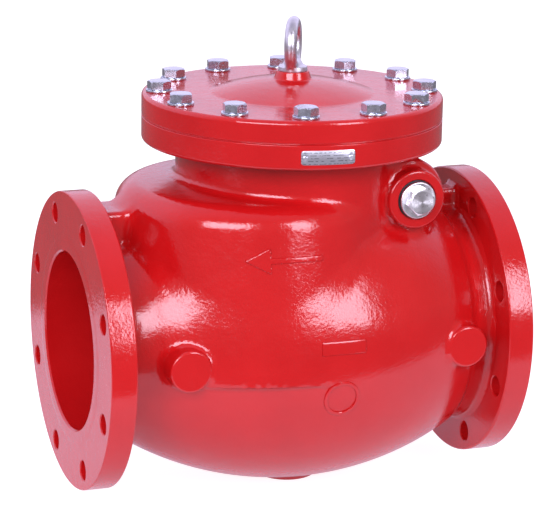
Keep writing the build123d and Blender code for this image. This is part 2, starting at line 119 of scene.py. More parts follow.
# Hinge housing, and the bores of its bushes, plug threads and plug recesses.
PIN_X = 0.1295
PIN_Z = 0.1675
HOUSING_R = 0.042
HOUSING_HALF_LENGTH = 0.103
PIN_BOSS_R = 0.0335
PIN_BOSS_Y = 0.123
PIN_STEPS = [(0.060, 0.01705), (0.1025, 0.01705), (0.1025, 0.01805), (0.119, 0.01805),
             (0.119, 0.023), (0.1225, 0.023), (0.1245, 0.025)]

# Cast bosses and ribs.
SIDE_BOSS_X = (0.075, 0.405)
SIDE_BOSS_R = 0.024
SIDE_BOSS_Y = 0.156
FOOT_R = 0.036
BOSS_EDGE = 3 * MM
OUTLET_RIB = ((0.38, -0.031, 0.05), (0.485, 0.031, 0.153))
INLET_RIB = ((0.015, -0.014, 0.10), (0.13, 0.014, 0.150))

# Marks: raised height, and the places of the arrow, bar and ring.
MARK_HEIGHT = 1.8 * MM
ARROW_AT = (0.298, 0.119)
BAR_AT = (0.236, 0.020)
RING_AT = (0.236, -0.040)

# Eye bolt.
EYE_Z = 0.3285
EYE_MAJOR_R = 0.0245
EYE_MINOR_R = 0.007
EYE_ANGLE = math.radians(62)
COLLAR_R = 0.0165
COLLAR_T = 0.006
SHANK_R = 0.00795
SHANK_LENGTH = 0.027

SKIN = 0.3 * MM     # crisp turned parts stand this much proud of the blended casting


# ---------------------------------------------------------------- distance functions, in metres

def blend_union(a, b, r):
    """Union of two distances with a fillet of radius r."""
    u = np.maximum(r - a, 0)
    v = np.maximum(r - b, 0)
    return np.maximum(r, np.minimum(a, b)) - np.sqrt(u * u + v * v)


def blend_inter(a, b, r):
    """Intersection of two distances with a rounding of radius r."""
    u = np.maximum(r + a, 0)
    v = np.maximum(r + b, 0)
    return np.minimum(-r, np.maximum(a, b)) + np.sqrt(u * u + v * v)


def off_axis(a, b, at_a=0.0, at_b=0.0):
    """Distance from an axis that stands at (at_a, at_b)."""
    return np.sqrt((a - at_a) ** 2 + (b - at_b) ** 2)


def rod(radial, along, radius, low, high, edge=0.0):
    """Cylinder with rounded ends."""
    a = radial - (radius - edge)
    b = np.abs(along - (low + high) / 2) - ((high - low) / 2 - edge)
    outside = np.sqrt(np.maximum(a, 0) ** 2 + np.maximum(b, 0) ** 2)
    return outside + np.minimum(np.maximum(a, b), 0) - edge


def block(x, y, z, low, high, edge=0.0):
    """Box with rounded edges."""
    parts = []
    for value, lo, hi in zip((x, y, z), low, high):
        parts.append(np.abs(value - (lo + hi) / 2) - ((hi - lo) / 2 - edge))
    a, b, c = parts
    outside = np.sqrt(np.maximum(a, 0) ** 2 + np.maximum(b, 0) ** 2 + np.maximum(c, 0) ** 2)
    return outside + np.minimum(np.maximum(np.maximum(a, b), c), 0) - edge


def hood_shape(x, y, z, inset):
    """The hood: a round tower with draft, a shallow conical top and a large rounded edge."""
    radial = off_axis(x, y, HOOD_X)
    wall = radial - (HOOD_R - inset + HOOD_DRAFT * np.clip(HOOD_Z - z, -0.01, 0.18))
    wall = wall / math.sqrt(1 + HOOD_DRAFT**2)
    top = z - (HOOD_Z - inset) - HOOD_SLOPE * (HOOD_R - radial)
    top = top / math.sqrt(1 + HOOD_SLOPE**2)
    return np.maximum(blend_inter(wall, top, HOOD_EDGE - inset), HOOD_BASE_Z - z)


def crown_shape(x, y, z, inset):
    """The barrel's crowned wall, without its ends."""
    return off_axis(x, off_axis(y, z), CROWN_X, -CROWN_CENTRE) - (CROWN_ARC_R - inset)


def casting(x, y, z):
    """The outside of the body casting, with a fillet where each shape joins the rest."""
    radial = off_axis(y, z)
    about_cover = off_axis(x, y, COVER_X)
    about_pin = off_axis(x, z, PIN_X, PIN_Z)
    crown = np.maximum(crown_shape(x, y, z, 0), x - CROWN_END_X)
    d = blend_inter(crown, SHOULDER_X - x, 0.012)
    d = blend_union(d, rod(radial, x, INLET_NECK_R, 0.005, 0.09), 0.007)
    d = blend_union(d, rod(radial, x, OUTLET_NECK_R, 0.40, 0.495), 0.012)
    d = blend_union(d, hood_shape(x, y, z, 0), 0.007)
    d = blend_union(d, rod(about_cover, z, NECK_R, -0.05, 0.235), 0.007)
    rim = rod(about_cover, z, COVER_R - 2 * SKIN, TOP_FLANGE_BASE + SKIN, TOP_FLANGE_Z - SKIN, 0.004)
    d = blend_union(d, rim, 0.006)
    half = HOUSING_HALF_LENGTH
    d = blend_union(d, rod(about_pin, y, HOUSING_R, -half, half, 0.006), 0.016)
    half = PIN_BOSS_Y - 0.0005
    d = blend_union(d, rod(about_pin, y, PIN_BOSS_R - SKIN, -half, half, BOSS_EDGE), 0.005)
    half = SIDE_BOSS_Y - 0.0005
    for boss_x in SIDE_BOSS_X:
        about_boss = off_axis(x, z, boss_x)
        d = blend_union(d, rod(about_boss, y, SIDE_BOSS_R - SKIN, -half, half, BOSS_EDGE), 0.006)
    d = blend_union(d, rod(about_cover, z, FOOT_R - SKIN, FLOOR_Z + 0.0005, -0.12, BOSS_EDGE), 0.008)
    d = blend_union(d, block(x, y, z, *OUTLET_RIB, 0.006), 0.010)
    d = blend_union(d, block(x, y, z, *INLET_RIB, 0.005), 0.010)
    for low in (0, FACE_TO_FACE - FLANGE_T):
        flange = rod(radial, x, FLANGE_R - SKIN, low + SKIN, low + FLANGE_T - SKIN, 0.002)
        d = blend_union(d, flange, 0.009)
    return d


def cavity(x, y, z):
    """The space inside the casting, without the machined bores."""
    radial = off_axis(y, z)
    low, high = CHAMBER_X
    d = np.maximum(crown_shape(x, y, z, WALL), np.maximum(low - x, x - high))
    taper_low, taper_end, taper_high = TAPER_X
    cone = radial - (BORE_R + (taper_end - x) * TAPER_SLOPE)
    d = np.minimum(d, np.maximum(cone, np.maximum(taper_low - x, x - taper_high)) * 0.5)
    d = blend_union(d, hood_shape(x, y, z, WALL + 0.004), 0.008)
    neck = rod(off_axis(x, y, COVER_X), z, NECK_R - WALL, 0, TOP_FLANGE_Z + 0.004)
    d = blend_union(d, neck, 0.006)
    housing = rod(off_axis(x, z, PIN_X, PIN_Z), y, HOUSING_R - WALL, -0.062, 0.062, 0.003)
    d = blend_union(d, housing, 0.003)
    nozzle = rod(radial, x, 0.122, -0.02, 0.110, 0.001)
    return np.maximum(d, -nozzle)


# ---------------------------------------------------------------- meshes

CORNERS = [(i, j, k) for i in (0, 1) for j in (0, 1) for k in (0, 1)]


def surface_net(shape, low, high, step, refine=4):
    """Smooth closed mesh of a distance function: vertices as an array and quads as an array."""
    low = np.array(low, float)
    counts = np.ceil((np.array(high, float) - low) / step).astype(int) + 1
    axes = [low[a] + step * np.arange(counts[a]) for a in range(3)]
    grid = np.empty(tuple(counts), np.float32)
    slab = max(1, 400000 // int(counts[1] * counts[2]))
    for start in range(0, counts[0], slab):
        x = axes[0][start:start + slab, None, None]
        grid[start:start + slab] = shape(x, axes[1][None, :, None], axes[2][None, None, :])
    inside = grid < 0
    total = np.zeros(tuple(counts - 1), np.int8)
    for i, j, k in CORNERS:
        total += inside[i:counts[0] - 1 + i, j:counts[1] - 1 + j, k:counts[2] - 1 + k]
    cells = np.argwhere((total > 0) & (total < 8))
    index = np.full(tuple(counts - 1), -1, np.int64)
    index[tuple(cells.T)] = np.arange(len(cells))
    values = {c: grid[tuple((cells + c).T)].astype(float) for c in CORNERS}
    summed = np.zeros((len(cells), 3))
    crossings = np.zeros(len(cells))
    for a in CORNERS:
        for axis in range(3):
            if a[axis]:
                continue
            b = tuple(1 if n == axis else a[n] for n in range(3))
            va, vb = values[a], values[b]
            hit = (va < 0) != (vb < 0)
            t = np.where(hit, va / np.where(hit, va - vb, 1), 0)
            point = np.zeros((len(cells), 3)) + a
            point[:, axis] += t
            summed += point * hit[:, None]
            crossings += hit
    points = low + (cells + summed / crossings[:, None]) * step
    for _ in range(refine):
        points -= step_to_surface(shape, points, step)
    quads = []
    for axis in range(3):
        u, v = [n for n in range(3) if n != axis]
        here = [slice(1, counts[n] - 1) for n in range(3)]
        here[axis] = slice(0, counts[axis] - 1)
        ahead = list(here)
        ahead[axis] = slice(1, counts[axis])
        a, b = inside[tuple(here)], inside[tuple(ahead)]
        where = np.argwhere(a != b)
        offset = np.ones(3, int)
        offset[axis] = 0
        where = where + offset
        outward = inside[tuple(where.T)]
        ring = []
        for du, dv in ((0, 0), (1, 0), (1, 1), (0, 1)):
            cell = where.copy()
            cell[:, u] -= du
            cell[:, v] -= dv
            ring.append(index[tuple(cell.T)])
        ring = np.stack(ring, 1)
        flip = outward if axis != 1 else ~outward
        ring[~flip] = ring[~flip][:, ::-1]
        quads.append(ring)
    return points, np.concatenate(quads)


def step_to_surface(shape, points, reach):
    """The Newton step from each point to the surface, no longer than half a cell."""
    h = 2e-5
    value = shape(points[:, 0], points[:, 1], points[:, 2])
    slope = np.empty_like(points)
    for axis in range(3):
        moved = points.copy()
        moved[:, axis] += h
        slope[:, axis] = (shape(moved[:, 0], moved[:, 1], moved[:, 2]) - value) / h
    step = slope * (value / np.maximum((slope**2).sum(1), 0.05))[:, None]
    length = np.sqrt((step**2).sum(1))
    return step * np.minimum(1, 0.5 * reach / np.maximum(length, 1e-9))[:, None]


def mesh_piece(name, points, faces):
    """Object from points and faces, in the scene."""
    mesh = bpy.data.meshes.new(name)
    mesh.from_pydata(np.asarray(points).tolist(), [], np.asarray(faces).tolist())
    mesh.update()
    piece = bpy.data.objects.new(name, mesh)
    bpy.context.scene.collection.objects.link(piece)
    return piece


def bm_piece(name, bm):
    """Object from a bmesh, with its normals made to point outwards."""
    bmesh.ops.recalc_face_normals(bm, faces=bm.faces)
    mesh = bpy.data.meshes.new(name)
    bm.to_mesh(mesh)
    bm.free()
    piece = bpy.data.objects.new(name, mesh)
    bpy.context.scene.collection.objects.link(piece)
    return piece


def rounded(points, radii, steps=5):
    """Outline with each corner rounded by its radius; a radius of 0 leaves it sharp."""
    made = []
    for i, (p, r) in enumerate(zip(points, radii)):
        if r <= 0 or i in (0, len(points) - 1):
            made.append(tuple(p))
            continue
        here = np.array(p, float)
        a = np.array(points[i - 1], float) - here
        b = np.array(points[i + 1], float) - here
        a /= np.linalg.norm(a)
        b /= np.linalg.norm(b)
        half = math.acos(max(-1, min(1, float(a @ b)))) / 2
        centre = here + (a + b) / np.linalg.norm(a + b) * r / math.sin(half)
        start = here + a * r / math.tan(half)
        end = here + b * r / math.tan(half)
        p0 = start - centre
        p1 = end - centre
        turn = math.acos(max(-1, min(1, float(p0 @ p1) / r**2)))
        for n in range(steps + 1):
            t = n / steps
            q = centre + (math.sin((1 - t) * turn) * p0 + math.sin(t * turn) * p1) / math.sin(turn)
            made.append(tuple(q))
    return made


# From a place along the axis, a radius, and the cosine and sine of the angle, to x, y and z.
AXES = {
    "X": lambda a, r, c, s: (a, r * c, r * s),
    "Y": lambda a, r, c, s: (r * s, a, r * c),
    "Z": lambda a, r, c, s: (r * c, r * s, a),
}


def turn_into(bm, outline, axis, centre=(0, 0, 0), segments=96):
    """Adds a solid of revolution to a bmesh. The outline runs from pole to pole, or is a closed ring."""
    rings = []
    place = AXES[axis]
    for along, radius in outline:
        if radius < 1e-7:
            at = Vector(place(along, 0, 1, 0)) + Vector(centre)
            rings.append([bm.verts.new(at)])
            continue
        ring = []
        for n in range(segments):
            angle = 2 * math.pi * n / segments
            at = Vector(place(along, radius, math.cos(angle), math.sin(angle))) + Vector(centre)
            ring.append(bm.verts.new(at))
        rings.append(ring)
    closed = len(rings[0]) > 1
    pairs = list(zip(rings, rings[1:])) + ([(rings[-1], rings[0])] if closed else [])
    for a, b in pairs:
        for n in range(segments):
            m = (n + 1) % segments
            if len(a) == 1:
                bm.faces.new((a[0], b[n], b[m]))
            elif len(b) == 1:
                bm.faces.new((a[n], b[0], a[m]))
            else:
                bm.faces.new((a[n], b[n], b[m], a[m]))


def turned(name, outline, axis, centre=(0, 0, 0), segments=96):
    """One turned solid as an object."""
    bm = bmesh.new()
    turn_into(bm, outline, axis, centre, segments)
    return bm_piece(name, bm)


def boolean(target, tools, operation):
    """Joins tools to the target or cuts them from it, then removes them."""
    for tool in tools:
        modifier = target.modifiers.new("join", "BOOLEAN")
        modifier.operation = operation
        modifier.solver = "MANIFOLD"
        modifier.object = tool
    graph = bpy.context.evaluated_depsgraph_get()
    mesh = bpy.data.meshes.new_from_object(target.evaluated_get(graph))
    old = target.data
    target.modifiers.clear()
    target.data = mesh
    bpy.data.meshes.remove(old)
    for tool in tools:
        data = tool.data
        bpy.data.objects.remove(tool)
        bpy.data.meshes.remove(data)
    return target


def shade(piece, angle):
    """Smooth shading, with the edges sharper than the angle kept."""
    mesh = piece.data
    mesh.polygons.foreach_set("use_smooth", [True] * len(mesh.polygons))
    mesh.set_sharp_from_angle(angle=math.radians(angle))
    modifier = piece.modifiers.new("weighted", "WEIGHTED_NORMAL")
    modifier.keep_sharp = True
    modifier.weight = 80
    return piece


# ---------------------------------------------------------------- the body casting

def flange_ring(face, back):
    """Crisp disc of one pipe flange."""
    edge = 1.6 * MM
    outline = [(face, 0), (face, FLANGE_R), (back, FLANGE_R), (back, 0)]
    outline = rounded(outline, [0, edge, edge * 1.6, 0], 6)
    return turned("flange", outline, "X", segments=256)


def boss_end(axis, radius, start, end, centre):
    """Crisp end of a cast boss."""
    outline = [(start, 0), (start, radius), (end, radius), (end, 0)]
    outline = rounded(outline, [0, 0, BOSS_EDGE, 0], 6)
    return turned("boss", outline, axis, centre, 96)


def flange_drills():
    """The bolt holes of both pipe flanges, with a small chamfer at each end."""
    bm = bmesh.new()
    lead = 1.2 * MM
    r = BOLT_HOLE_R
    for low, high in ((0, FLANGE_T), (FACE_TO_FACE - FLANGE_T, FACE_TO_FACE)):
        for n in range(BOLT_HOLES):
            angle = math.radians(360 / BOLT_HOLES * (n + 0.5))
            centre = (0, BOLT_CIRCLE_R * math.cos(angle), BOLT_CIRCLE_R * math.sin(angle))
            outline = [(low - 2 * lead, 0), (low - 2 * lead, r + 3 * lead), (low + lead, r),
                       (high - lead, r), (high + 2 * lead, r + 3 * lead), (high + 2 * lead, 0)]
            turn_into(bm, outline, "X", centre, 32)
    return bm_piece("drills", bm)


def drill_down(bm, centre, radius, low, high):
    """Adds a plain upright drill to a bmesh."""
    turn_into(bm, [(low, 0), (low, radius), (high, radius), (high, 0)], "Z", centre, 24)


def cover_circle_drills(bm, radius, low, high):
    """Adds a drill at each cover bolt."""
    for n in range(COVER_BOLTS):
        angle = math.radians(COVER_BOLT_START + 360 / COVER_BOLTS * n)
        x = COVER_X + COVER_BOLT_CIRCLE_R * math.cos(angle)
        drill_down(bm, (x, COVER_BOLT_CIRCLE_R * math.sin(angle), 0), radius, low, high)


def tapped_drills():
    """Blind holes under the cover bolts."""
    bm = bmesh.new()
    cover_circle_drills(bm, THREAD_R, TOP_FLANGE_Z - TAPPED_DEPTH, TOP_FLANGE_Z + 0.002)
    return bm_piece("taps", bm)


def pin_drills():
    """Bush, thread and plug recess bores of both hinge bosses."""
    bm = bmesh.new()
    for side in (1, -1):
        outline = [(side * y, r) for y, r in PIN_STEPS]
        outline = [(outline[0][0], 0)] + outline + [(outline[-1][0], 0)]
        turn_into(bm, outline, "Y", (PIN_X, 0, PIN_Z), 64)
    return bm_piece("pins", bm)


def bore_cutter():
    """Flow bore with broken edges, and the counterbore for the seat ring."""
    lead = 1.4 * MM
    far = FACE_TO_FACE
    seat, back = SEAT_X
    outline = [(-3 * lead, 0), (-3 * lead, BORE_R + 4 * lead), (lead, BORE_R), (seat, BORE_R),
               (seat, SEAT_R), (back, SEAT_R), (back, BORE_R), (far - lead, BORE_R),
               (far + 3 * lead, BORE_R + 4 * lead), (far + 3 * lead, 0)]
    return turned("bore", outline, "X", segments=192)


def arrow_outline(u, v):
    """Distance to a plain flow arrow that points along +u, 88 mm long."""
    shaft = np.maximum(np.abs(u + 0.008) - 0.034, np.abs(v) - 0.0030)
    head = np.maximum((np.abs(v) * 0.89 + (u - 0.046) * 0.46), 0.018 - u)
    return np.minimum(shaft, head)


def bar_outline(u, v):
    """Distance to a plain raised bar."""
    return np.maximum(np.abs(u) - 0.026, np.abs(v) - 0.0075)


def ring_outline(u, v):
    """Distance to a plain raised ring."""
    return np.abs(np.sqrt(u * u + v * v) - 0.019) - 0.0022


def cast_mark(outline, place, side, reach):
    """A mark raised out of the casting's side, seen along Y."""
    x0, z0 = place

    def shape(x, y, z):
        skin = casting(x, y, z)
        flat = outline(x - x0, (z - z0)) + 0 * y
        return blend_inter(np.maximum(flat, -0.006 - skin), skin - MARK_HEIGHT, MARK_HEIGHT / 2)

    low_y, high_y = sorted((side * 0.085, side * 0.186))
    low = (x0 - reach - 0.004, low_y, z0 - reach * 0.5 - 0.004)
    high = (x0 + reach + 0.004, high_y, z0 + reach * 0.5 + 0.004)
    points, quads = surface_net(shape, low, high, 1.0 * MM, 5)
    return mesh_piece("mark", points, quads)


def cast_marks():
    """Flow arrows on both sides, with a plain bar and a plain ring below the front one."""
    marks = [cast_mark(arrow_outline, ARROW_AT, side, 0.05) for side in (1, -1)]
    marks.append(cast_mark(bar_outline, BAR_AT, 1, 0.03))
    marks.append(cast_mark(ring_outline, RING_AT, 1, 0.046))
    return marks


def build_body():
    """The whole body casting as one closed mesh."""
    step = 3.6 * MM
    low, high = (-0.006, -0.186, FLOOR_Z - 0.006), (0.506, 0.186, 0.256)
    points, quads = surface_net(casting, low, high, step)
    body = mesh_piece("body_casting", points, quads)
    rim = [(TOP_FLANGE_BASE, 0), (TOP_FLANGE_BASE, COVER_R), (TOP_FLANGE_Z, COVER_R), (TOP_FLANGE_Z, 0)]
    rim = rounded(rim, [0, 4 * MM, 0.9 * MM, 0], 8)
    parts = [flange_ring(0, FLANGE_T), flange_ring(FACE_TO_FACE, FACE_TO_FACE - FLANGE_T),
             turned("rim", rim, "Z", (COVER_X, 0, 0), 256),
             boss_end("Z", FOOT_R, -0.15, FLOOR_Z, (COVER_X, 0, 0))]
    for side in (1, -1):
        parts.append(boss_end("Y", PIN_BOSS_R, side * 0.08, side * PIN_BOSS_Y, (PIN_X, 0, PIN_Z)))
        for x in SIDE_BOSS_X:
            parts.append(boss_end("Y", SIDE_BOSS_R, side * 0.11, side * SIDE_BOSS_Y, (x, 0, 0)))
    boolean(body, parts + cast_marks(), "UNION")
    step = 4 * MM
    points, quads = surface_net(cavity, (0.060, -0.180, -0.180), (0.455, 0.180, 0.262), step)
    inner = mesh_piece("cavity", points, quads)
    boolean(body, [inner, bore_cutter(), flange_drills(), tapped_drills(), pin_drills()], "DIFFERENCE")
    return shade(body, 35)


# ---------------------------------------------------------------- cover, eye bolt

def build_cover():
    """Domed lid with its boss, bolt holes, underside recess and stop lug."""
    ball = (DOME_R**2 + DOME_RISE**2) / (2 * DOME_RISE)

    def dome_z(base, r):
        return base + DOME_RISE - ball + math.sqrt(ball**2 - r**2)

    under = [(dome_z(COVER_BASE - RECESS_LIFT, RECESS_R * n / 12), RECESS_R * n / 12) for n in range(13)]
    rim = [(COVER_BASE, RECESS_R), (COVER_BASE, COVER_R), (COVER_TOP, COVER_R),
           (COVER_TOP, DOME_R + 0.0005)]
    rim = rounded(rim, [0, 1.0 * MM, 5 * MM, 0], 8)
    dome = []
    for n in range(1, 25):
        r = DOME_R - (DOME_R - EYE_BOSS_ROOT_R) * n / 24
        dome.append((dome_z(COVER_TOP, r), r))
    boss = [dome[-1], (dome[-1][0] + 0.0006, 0.0213), (EYE_BOSS_TOP, EYE_BOSS_R), (EYE_BOSS_TOP, 0)]
    boss = rounded(boss, [0, 2.2 * MM, 1.2 * MM, 0], 6)[1:]
    cover = turned("cover_casting", under + rim + dome + boss, "Z", (COVER_X, 0, 0), 256)
    bm = bmesh.new()
    cover_circle_drills(bm, COVER_HOLE_R, COVER_BASE - 0.002, COVER_TOP + 0.002)
    drill_down(bm, (COVER_X, 0, 0), THREAD_R, EYE_BOSS_TOP - 0.032, EYE_BOSS_TOP + 0.002)
    drills = bm_piece("cover_drills", bm)
    boolean(cover, [stop_lug()], "UNION")
    boolean(cover, [drills], "DIFFERENCE")
    return shade(cover, 30)


def stop_lug():
    """The lug under the cover that the open arm rests on."""
    corners = []
    for x in LUG_X:
        along = (x - PIN_X - ARM_BACK * math.cos(OPEN_ANGLE)) / math.sin(OPEN_ANGLE)
        corners.append((x, PIN_Z - along * math.cos(OPEN_ANGLE) + ARM_BACK * math.sin(OPEN_ANGLE)))
    root = COVER_BASE + 0.014
    outline = [(LUG_X[0], root), *corners, (LUG_X[1], root)]
    bm = bmesh.new()
    near = [bm.verts.new((x, -LUG_HALF_WIDTH, z)) for x, z in outline]
    far = [bm.verts.new((x, LUG_HALF_WIDTH, z)) for x, z in outline]
    bm.faces.new(near)
    bm.faces.new(far[::-1])
    for n in range(4):
        m = (n + 1) % 4
        bm.faces.new((near[n], far[n], far[m], near[m]))
    return bm_piece("lug", bm)


def eye_shape(x, y, z):
    """Ring, flared neck and collar of the eye bolt, about its own axis."""
    tube = off_axis(off_axis(x, z, 0, EYE_Z), y, EYE_MAJOR_R) - EYE_MINOR_R
    radial = off_axis(x, y)
    base = EYE_BOSS_TOP
    flare = radial - (0.0128 - (z - base - COLLAR_T) * 0.62)
    neck = np.maximum(flare, np.abs(z - base - 0.0075) - 0.0065) * 0.85
    d = blend_union(tube, neck, 0.005)
    return blend_union(d, rod(radial, z, COLLAR_R, base, base + COLLAR_T, 0.0018), 0.0022)


def build_eye():
    """The lifting eye, turned to its angle."""
    step = 0.9 * MM
    base = EYE_BOSS_TOP
    points, quads = surface_net(eye_shape, (-0.034, -0.019, base - 0.003), (0.034, 0.019, 0.363), step)
    eye = mesh_piece("eye_bolt_forging", points, quads)
    end, top = base - SHANK_LENGTH, base + 0.003
    shank = rounded([(end, 0), (end, SHANK_R), (top, SHANK_R), (top, 0)], [0, 1 * MM, 0, 0])
    boolean(eye, [turned("shank", shank, "Z", segments=48)], "UNION")
    eye.data.transform(Matrix.Translation((COVER_X, 0, 0)) @ Matrix.Rotation(EYE_ANGLE, 4, "Z"))
    return shade(eye, 40)


body = build_body()
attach(body, "casing")
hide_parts("valve_body")

cover = build_cover()
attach(cover, "casing")
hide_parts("cover")

eye = build_eye()
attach(eye, "casing")
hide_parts("eye_bolt")


# ---------------------------------------------------------------- materials

def start(name):
    """A new node material with its shader."""
    material = bpy.data.materials.new(name)
    material.use_nodes = True
    nodes = material.node_tree.nodes
    shader = nodes["Principled BSDF"]
    return material, nodes, material.node_tree.links, shader


def position(nodes):
    """The piece's own coordinates, in metres."""
    return nodes.new("ShaderNodeTexCoord").outputs["Object"]


def noise(nodes, links, where, scale, detail):
    """Noise of a scale per metre."""
    node = nodes.new("ShaderNodeTexNoise")
    node.inputs["Scale"].default_value = scale
    node.inputs["Detail"].default_value = detail
    links.new(where, node.inputs["Vector"])
    return node.outputs["Fac"]


def ramp(nodes, links, value, low, high, from_low=0.3, from_high=0.7):
    """A value taken from one range to another."""
    node = nodes.new("ShaderNodeMapRange")
    node.inputs["From Min"].default_value = from_low
    node.inputs["From Max"].default_value = from_high
    node.inputs["To Min"].default_value = low
    node.inputs["To Max"].default_value = high
    links.new(value, node.inputs["Value"])
    return node.outputs["Result"]


def mix_colour(nodes, links, factor, a, b):
    """Two colours mixed by a factor. Each is a tuple or a socket."""
    node = nodes.new("ShaderNodeMix")
    node.data_type = "RGBA"
    for name, colour in (("A", a), ("B", b)):
        if isinstance(colour, tuple):
            node.inputs[name].default_value = (*colour, 1)
        else:
            links.new(colour, node.inputs[name])
    links.new(factor, node.inputs["Factor"])
    return node.outputs["Result"]


def bump(nodes, links, height, distance, under=None):
    """A bump of a real height in metres, on top of another one if that is given."""
    node = nodes.new("ShaderNodeBump")
    node.inputs["Distance"].default_value = distance
    node.inputs["Strength"].default_value = 1.0
    links.new(height, node.inputs["Height"])
    if under is not None:
        links.new(under, node.inputs["Normal"])
    return node.outputs["Normal"]


def vector_math(nodes, links, operation, vector, second=None):
    """A vector operation; the second operand is a constant."""
    node = nodes.new("ShaderNodeVectorMath")
    node.operation = operation
    links.new(vector, node.inputs[0])
    if second is not None:
        node.inputs[1].default_value = second
    return node.outputs["Value" if operation == "LENGTH" else "Vector"]


def scalar_math(nodes, links, operation, first, second):
    """An operation on a socket and a number or socket."""
    node = nodes.new("ShaderNodeMath")
    node.operation = operation
    links.new(first, node.inputs[0])
    if isinstance(second, (int, float)):
        node.inputs[1].default_value = second
    else:
        links.new(second, node.inputs[1])
    return node.outputs["Value"]


def red_paint():
    """Thick glossy red coating over a sand casting."""
    material, nodes, links, shader = start("red_gloss_paint")
    where = position(nodes)
    broad = noise(nodes, links, where, 14, 3)
    fine = noise(nodes, links, where, 90, 4)
    shade_of = mix_colour(nodes, links, ramp(nodes, links, broad, 0, 1),
                          (0.475, 0.0052, 0.0062), (0.530, 0.0080, 0.0090))
    links.new(shade_of, shader.inputs["Base Color"])
    links.new(ramp(nodes, links, fine, 0.09, 0.17), shader.inputs["Roughness"])
    shader.inputs["IOR"].default_value = 1.6
    cast = bump(nodes, links, noise(nodes, links, where, 70, 2), 0.00028)
    peel = bump(nodes, links, noise(nodes, links, where, 300, 2), 0.00019, under=cast)
    pores = bump(nodes, links, noise(nodes, links, where, 900, 2), 0.00005, under=peel)
    links.new(pores, shader.inputs["Normal"])
    return material


def mottled(nodes, links, shader, where, tones, tone_noise, roughness, rough_noise):
    """Uneven base colour and roughness; each noise is its scale and detail."""
    tone = ramp(nodes, links, noise(nodes, links, where, *tone_noise), 0, 1)
    links.new(mix_colour(nodes, links, tone, *tones), shader.inputs["Base Color"])
    rough = ramp(nodes, links, noise(nodes, links, where, *rough_noise), *roughness)
    links.new(rough, shader.inputs["Roughness"])


def metal(name, colour, dark, roughness, height=2e-5):
    """Bare or plated metal with fine grain and uneven tone."""
    material, nodes, links, shader = start(name)
    where = position(nodes)
    mottled(nodes, links, shader, where, (dark, colour), (120, 3), roughness, (260, 3))
    shader.inputs["Metallic"].default_value = 1.0
    grain = noise(nodes, links, where, 900, 3)
    links.new(bump(nodes, links, grain, height), shader.inputs["Normal"])
    return material


def matt(name, colour, dark, roughness):
    """Rubber, sheet gasket or coated iron."""
    material, nodes, links, shader = start(name)
    where = position(nodes)
    mottled(nodes, links, shader, where, (dark, colour), (60, 4), roughness, (180, 3))
    grain = noise(nodes, links, where, 400, 4)
    links.new(bump(nodes, links, grain, 1e-4), shader.inputs["Normal"])
    return material


def turned_steel():
    """Faced stainless steel, with lathe marks round the hinge axis."""
    material, nodes, links, shader = start("stainless_steel")
    where = position(nodes)
    from_axis = vector_math(nodes, links, "SUBTRACT", where, (PIN_X, 0, PIN_Z))
    along_marks = vector_math(nodes, links, "CROSS_PRODUCT", from_axis, (0, 1, 0))
    links.new(along_marks, shader.inputs["Tangent"])
    shader.inputs["Anisotropic"].default_value = 0.75
    shader.inputs["Metallic"].default_value = 1.0
    rings = nodes.new("ShaderNodeTexNoise")
    rings.noise_dimensions = "1D"
    rings.inputs["Scale"].default_value = 2600
    rings.inputs["Detail"].default_value = 3
    links.new(vector_math(nodes, links, "LENGTH", from_axis), rings.inputs["W"])
    tone = mix_colour(nodes, links, ramp(nodes, links, rings.outputs["Fac"], 0, 1),
                      (0.76, 0.77, 0.80), (0.90, 0.91, 0.94))
    links.new(tone, shader.inputs["Base Color"])
    rough = ramp(nodes, links, noise(nodes, links, where, 260, 3), 0.26, 0.36)
    links.new(rough, shader.inputs["Roughness"])
    links.new(bump(nodes, links, rings.outputs["Fac"], 4e-6), shader.inputs["Normal"])
    return material


def engraved_plate():
    """Bright plate with thin broken lines across it, which are not letters."""
    line_pitch, line_share = 0.0031, 0.28
    material, nodes, links, shader = start("plate_aluminium")
    where = position(nodes)
    rough = ramp(nodes, links, noise(nodes, links, where, 500, 2), 0.30, 0.38)
    links.new(rough, shader.inputs["Roughness"])
    split = nodes.new("ShaderNodeSeparateXYZ")
    links.new(where, split.inputs["Vector"])
    height = scalar_math(nodes, links, "MULTIPLY", split.outputs["Z"], 1 / line_pitch)
    height = scalar_math(nodes, links, "FRACT", height, 0)
    lines = scalar_math(nodes, links, "LESS_THAN", height, line_share)
    gaps = ramp(nodes, links, noise(nodes, links, where, 260, 1), 0, 1, 0.44, 0.50)
    broken = scalar_math(nodes, links, "MULTIPLY", lines, gaps)
    tone = mix_colour(nodes, links, broken, (0.82, 0.86, 0.95), (0.34, 0.36, 0.42))
    links.new(tone, shader.inputs["Base Color"])
    shader.inputs["Metallic"].default_value = 1.0
    return material


MATERIALS = {
    "red_paint": red_paint(),
    "zinc_steel": metal("zinc_plated_steel", (0.64, 0.68, 0.76), (0.52, 0.56, 0.64), (0.20, 0.32)),
    "bright_steel": metal("bright_steel", (0.74, 0.74, 0.79), (0.60, 0.60, 0.66), (0.28, 0.42)),
    "stainless": turned_steel(),
    "plate_metal": engraved_plate(),
    "bronze": metal("bronze", (0.62, 0.42, 0.20), (0.50, 0.32, 0.15), (0.20, 0.34)),
    "gasket_sheet": matt("gasket_sheet", (0.05, 0.05, 0.055), (0.03, 0.03, 0.033), (0.6, 0.8)),
    "machined_iron": metal("machined_iron", (0.44, 0.44, 0.46), (0.36, 0.36, 0.38), (0.30, 0.42), 5e-6),
    "rubber": matt("facing_rubber", (0.03, 0.03, 0.03), (0.018, 0.018, 0.018), (0.5, 0.7)),
    "arm_iron": matt("coated_iron", (0.25, 0.25, 0.26), (0.16, 0.16, 0.17), (0.35, 0.55)),
}


def dress(piece, material):
    """Gives a piece its one material."""
    piece.data.materials.clear()
    piece.data.materials.append(material)


